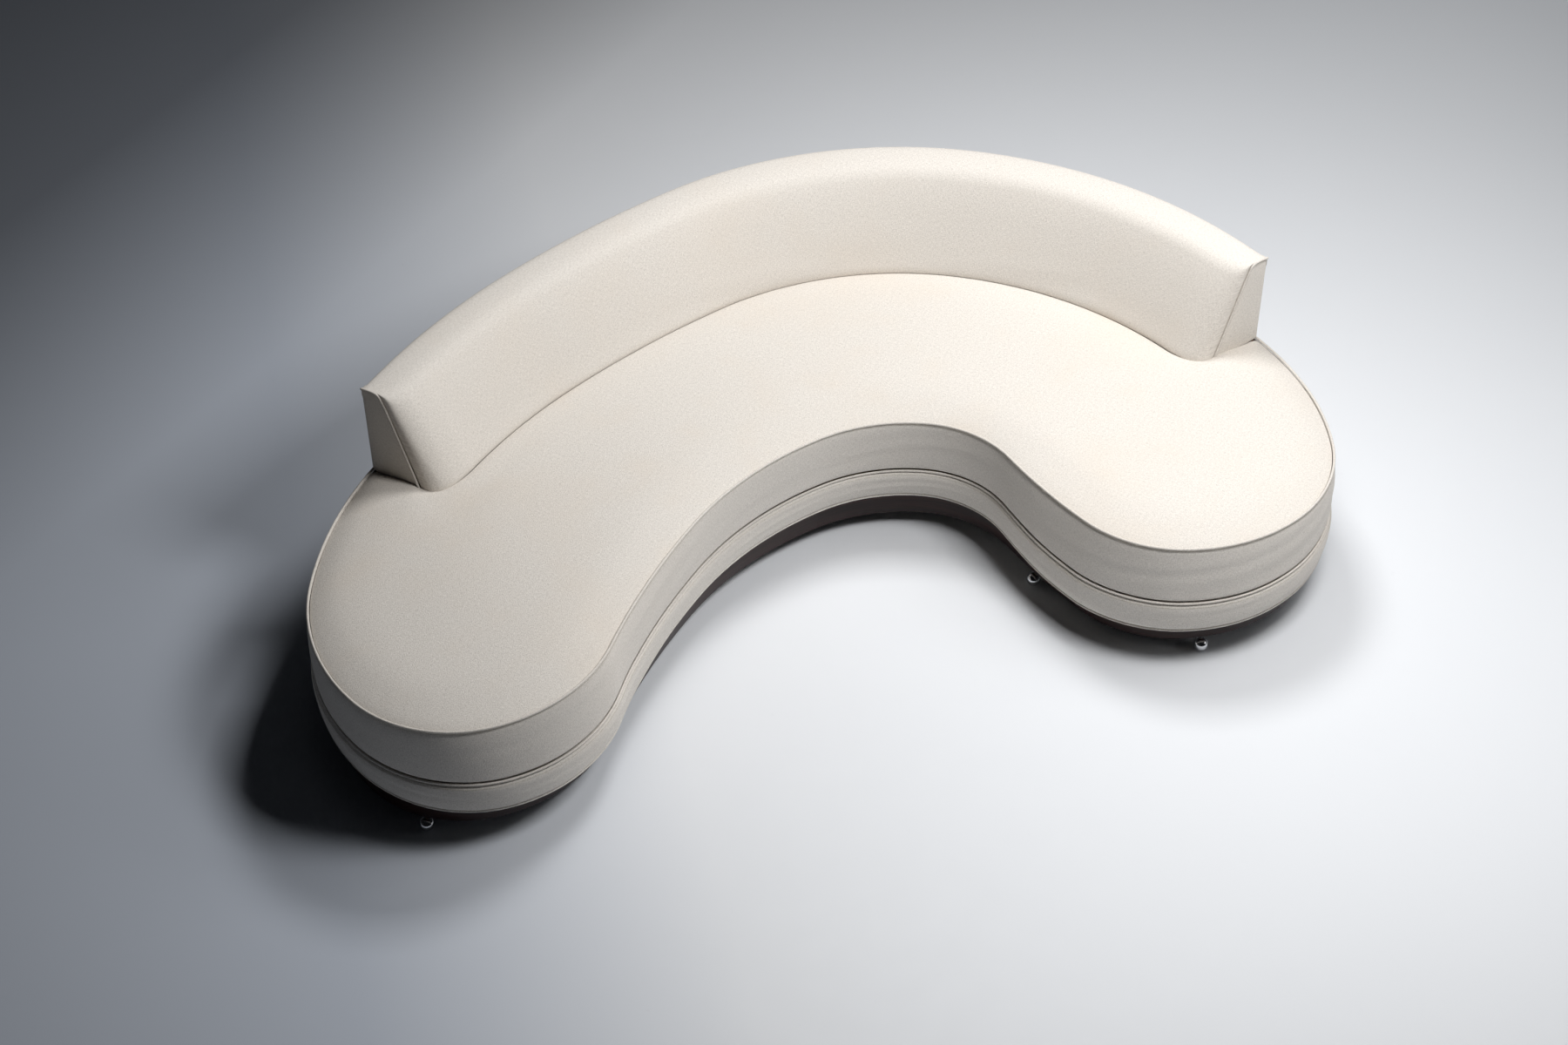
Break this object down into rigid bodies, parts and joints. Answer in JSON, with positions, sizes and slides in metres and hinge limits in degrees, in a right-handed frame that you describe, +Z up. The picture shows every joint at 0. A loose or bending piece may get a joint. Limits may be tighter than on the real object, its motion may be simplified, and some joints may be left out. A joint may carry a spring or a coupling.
{
  "type": "curved sofa",
  "caption": "Kidney-shaped upholstered sofa with a tight crowned seat, a low curved back, a welted two-band side and an inset dark plinth on chrome ball casters.",
  "frame": {"origin": "centre of the sofa's bounding rectangle in plan, on the floor under the casters", "axes": "+Z up; +X along the sofa's length, to the right of a person who stands in front and faces it; +Y from the hollow front towards the back"},
  "size_m": [2.8071, 1.8026, 0.69],
  "materials": {
    "upholstery": "fine cream woven wool blend",
    "welting": "the same cream cloth over cord",
    "padding": "upholstery foam",
    "deck_cloth": "jute",
    "dust_cloth": "black cambric",
    "plinth_wood": "dark stained veneer, satin",
    "plywood": "raw plywood",
    "hardwood": "raw beech",
    "spring_steel": "oiled spring wire",
    "zinc_steel": "zinc plated",
    "caster_chrome": "polished chrome"
  },
  "bodies": {
    "frame": {"plinth_left": "plinth_wood", "plinth_front": "plinth_wood", "plinth_right": "plinth_wood", "plinth_rear": "plinth_wood", "plinth_bottom_board": "plywood", "plinth_blocks": "hardwood", "dust_cover": "dust_cloth", "caster_blocks": "hardwood", "caster_sockets": "zinc_steel", "base_board": "plywood", "frame_struts": "plywood", "rim_panels": "plywood", "seat_rails": "plywood", "stretchers": "hardwood", "sinuous_springs": "spring_steel", "spring_clips": "zinc_steel", "deck_cloth": "deck_cloth", "seat_foam": "padding", "seat_cover": "upholstery", "band_padding": "padding", "band_cover": "upholstery", "rail_padding": "padding", "rail_cover": "upholstery", "seat_welt": "welting", "seam_welt": "welting", "bottom_welt": "welting", "back_bottom_rail": "plywood", "back_ribs": "plywood", "back_top_rail": "plywood", "back_liner": "plywood", "outer_back_board": "plywood", "back_foam": "padding", "inside_back_cover": "upholstery", "outer_back_cover": "upholstery", "end_boards": "plywood", "end_covers": "upholstery", "end_welts": "welting", "back_bolts": "zinc_steel", "tee_nuts": "zinc_steel"},
    "caster_swivel_1": {"caster_hood_1": "caster_chrome", "caster_axle_1": "zinc_steel"},
    "caster_wheel_1": {"caster_wheel_1": "caster_chrome"},
    "caster_swivel_2": {"caster_hood_2": "caster_chrome", "caster_axle_2": "zinc_steel"},
    "caster_wheel_2": {"caster_wheel_2": "caster_chrome"},
    "caster_swivel_3": {"caster_hood_3": "caster_chrome", "caster_axle_3": "zinc_steel"},
    "caster_wheel_3": {"caster_wheel_3": "caster_chrome"},
    "caster_swivel_4": {"caster_hood_4": "caster_chrome", "caster_axle_4": "zinc_steel"},
    "caster_wheel_4": {"caster_wheel_4": "caster_chrome"},
    "caster_swivel_5": {"caster_hood_5": "caster_chrome", "caster_axle_5": "zinc_steel"},
    "caster_wheel_5": {"caster_wheel_5": "caster_chrome"},
    "caster_swivel_6": {"caster_hood_6": "caster_chrome", "caster_axle_6": "zinc_steel"},
    "caster_wheel_6": {"caster_wheel_6": "caster_chrome"},
    "caster_swivel_7": {"caster_hood_7": "caster_chrome", "caster_axle_7": "zinc_steel"},
    "caster_wheel_7": {"caster_wheel_7": "caster_chrome"}
  },
  "joints": [
    {"name": "caster_1_swivel", "type": "hinge", "parent": "frame", "child": "caster_swivel_1", "pos_m": [-1.32264, -0.2681, 0.047], "axis": [0, 0, 1], "continuous": true},
    {"name": "caster_1_roll", "type": "hinge", "parent": "caster_swivel_1", "child": "caster_wheel_1", "pos_m": [-1.33607, -0.26415, 0.02], "axis": [-0.6784, 0.1994, -0.7071], "continuous": true},
    {"name": "caster_2_swivel", "type": "hinge", "parent": "frame", "child": "caster_swivel_2", "pos_m": [-1.16484, -0.8078, 0.047], "axis": [0, 0, 1], "continuous": true},
    {"name": "caster_2_roll", "type": "hinge", "parent": "caster_swivel_2", "child": "caster_wheel_2", "pos_m": [-1.17174, -0.81998, 0.02], "axis": [-0.3486, -0.6152, -0.7071], "continuous": true},
    {"name": "caster_3_swivel", "type": "hinge", "parent": "frame", "child": "caster_swivel_3", "pos_m": [0.58536, -0.29845, 0.047], "axis": [0, 0, 1], "continuous": true},
    {"name": "caster_3_roll", "type": "hinge", "parent": "caster_swivel_3", "child": "caster_wheel_3", "pos_m": [0.5724, -0.30374, 0.02], "axis": [-0.6546, -0.2673, -0.7071], "continuous": true},
    {"name": "caster_4_swivel", "type": "hinge", "parent": "frame", "child": "caster_swivel_4", "pos_m": [0.94165, -0.63082, 0.047], "axis": [0, 0, 1], "continuous": true},
    {"name": "caster_4_roll", "type": "hinge", "parent": "caster_swivel_4", "child": "caster_wheel_4", "pos_m": [0.94114, -0.64481, 0.02], "axis": [-0.026, -0.7066, -0.7071], "continuous": true},
    {"name": "caster_5_swivel", "type": "hinge", "parent": "frame", "child": "caster_swivel_5", "pos_m": [1.17851, 0.30735, 0.047], "axis": [0, 0, 1], "continuous": true},
    {"name": "caster_5_roll", "type": "hinge", "parent": "caster_swivel_5", "child": "caster_wheel_5", "pos_m": [1.19021, 0.31504, 0.02], "axis": [0.5911, 0.3881, -0.7071], "continuous": true},
    {"name": "caster_6_swivel", "type": "hinge", "parent": "frame", "child": "caster_swivel_6", "pos_m": [0.15871, 0.84447, 0.047], "axis": [0, 0, 1], "continuous": true},
    {"name": "caster_6_roll", "type": "hinge", "parent": "caster_swivel_6", "child": "caster_wheel_6", "pos_m": [0.15796, 0.85845, 0.02], "axis": [-0.038, 0.7061, -0.7071], "continuous": true},
    {"name": "caster_7_swivel", "type": "hinge", "parent": "frame", "child": "caster_swivel_7", "pos_m": [-0.98736, 0.25961, 0.047], "axis": [0, 0, 1], "continuous": true},
    {"name": "caster_7_roll", "type": "hinge", "parent": "caster_swivel_7", "child": "caster_wheel_7", "pos_m": [-0.99723, 0.26955, 0.02], "axis": [-0.4983, 0.5017, -0.7071], "continuous": true}
  ]
}
